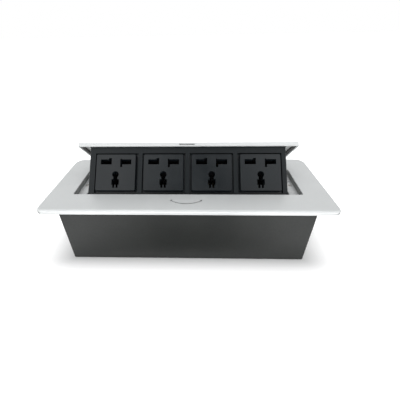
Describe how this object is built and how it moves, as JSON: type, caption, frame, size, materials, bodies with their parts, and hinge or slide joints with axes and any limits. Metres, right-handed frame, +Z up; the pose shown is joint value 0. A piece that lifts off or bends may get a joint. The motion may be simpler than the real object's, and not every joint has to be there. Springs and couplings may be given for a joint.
{
  "type": "desk socket",
  "caption": "Flip-up desk socket: silver frame set in a desk, sprung lid with a panel of universal sockets that folds down into a metal box and latches.",
  "frame": {"origin": "middle of the underside of the lower box, below the middle of the frame", "axes": "+Z up, +X along the length, -Y towards the user, who faces the raised socket panel"},
  "size_m": [0.2916, 0.112, 0.1095],
  "materials": {
    "cast_silver": "silver satin lacquer on a zinc casting",
    "charcoal_sheet": "charcoal powder coat on steel sheet",
    "black_satin": "black satin powder coat",
    "socket_black": "black moulded plastic, fine satin",
    "black_plastic": "black moulded plastic",
    "black_rubber": "matt rubber",
    "grey_rubber": "pale grey silicone",
    "zinc_steel": "zinc plated",
    "screw_steel": "nickel plated",
    "spring_steel": "bright wire",
    "brass_contact": "bright",
    "white_nylon": "natural nylon",
    "lead_sheath": "matt flexible sheath"
  },
  "bodies": {
    "base": {"frame_plate": "cast_silver", "frame_screws": "screw_steel", "frame_nuts": "zinc_steel", "ledge_pads": "grey_rubber", "lower_box": "charcoal_sheet", "box_back": "charcoal_sheet", "clamp_nuts": "zinc_steel", "pivot_bracket_left": "zinc_steel", "pivot_bracket_right": "zinc_steel", "bracket_rivets": "zinc_steel", "hollow_pivot": "zinc_steel", "pivot_bush_right": "white_nylon", "damper_housing": "black_plastic", "torsion_spring_left": "spring_steel", "torsion_spring_right": "spring_steel", "latch_guide": "black_plastic", "guide_screws": "screw_steel", "button_spring": "spring_steel", "latch_springs": "spring_steel", "terminal_block": "white_nylon", "terminal_screws": "brass_contact", "cord_saddle": "black_plastic", "cord_clamp": "black_plastic", "clamp_screws": "screw_steel", "cable_grommet": "black_rubber", "earth_stud": "brass_contact", "earth_nut": "brass_contact", "supply_lead": "lead_sheath"},
    "insert": {"lid_plate": "cast_silver", "lid_carrier": "black_plastic", "lid_seals": "black_rubber", "lid_screws": "screw_steel", "socket_panel": "black_satin", "stop_buffers": "black_rubber", "side_plate_left": "charcoal_sheet", "side_plate_right": "charcoal_sheet", "plate_screws": "screw_steel", "pivot_bush_left": "white_nylon", "damper_shaft": "zinc_steel", "rear_cover": "black_plastic", "cover_screws": "screw_steel", "module_screws": "screw_steel", "insert_lead": "lead_sheath", "live_busbar": "brass_contact", "neutral_busbar": "brass_contact", "earth_busbar": "brass_contact", "socket_face_1": "socket_black", "socket_base_1": "black_plastic", "socket_face_2": "socket_black", "socket_base_2": "black_plastic", "socket_face_3": "socket_black", "socket_base_3": "black_plastic", "socket_face_4": "socket_black", "socket_base_4": "black_plastic"},
    "button": {"release_button": "cast_silver"},
    "latch": {"latch_slider": "black_plastic"}
  },
  "joints": [
    {"name": "insert_flip", "type": "hinge", "parent": "base", "child": "insert", "pos_m": [0, 0.0447, 0.0409], "axis": [1, 0, 0], "range_deg": [0, 42.79], "stiffness_Nm_per_rad": 0.35, "springref_deg": -74.48, "deforming": ["torsion_spring_left", "torsion_spring_right"]},
    {"name": "button_press", "type": "slide", "parent": "base", "child": "button", "axis": [0, 0, -1], "range_m": [0, 0.0018], "stiffness_N_per_m": 400, "springref_m": -0.0015, "deforming": ["button_spring"]},
    {"name": "latch_slide", "type": "slide", "parent": "base", "child": "latch", "axis": [0, -1, 0], "range_m": [0, 0.0018], "stiffness_N_per_m": 300, "springref_m": -0.0015, "deforming": ["latch_springs"]}
  ],
  "couplings": [
    {"joint": "latch_slide", "follows": "button_press", "ratio": 1}
  ]
}
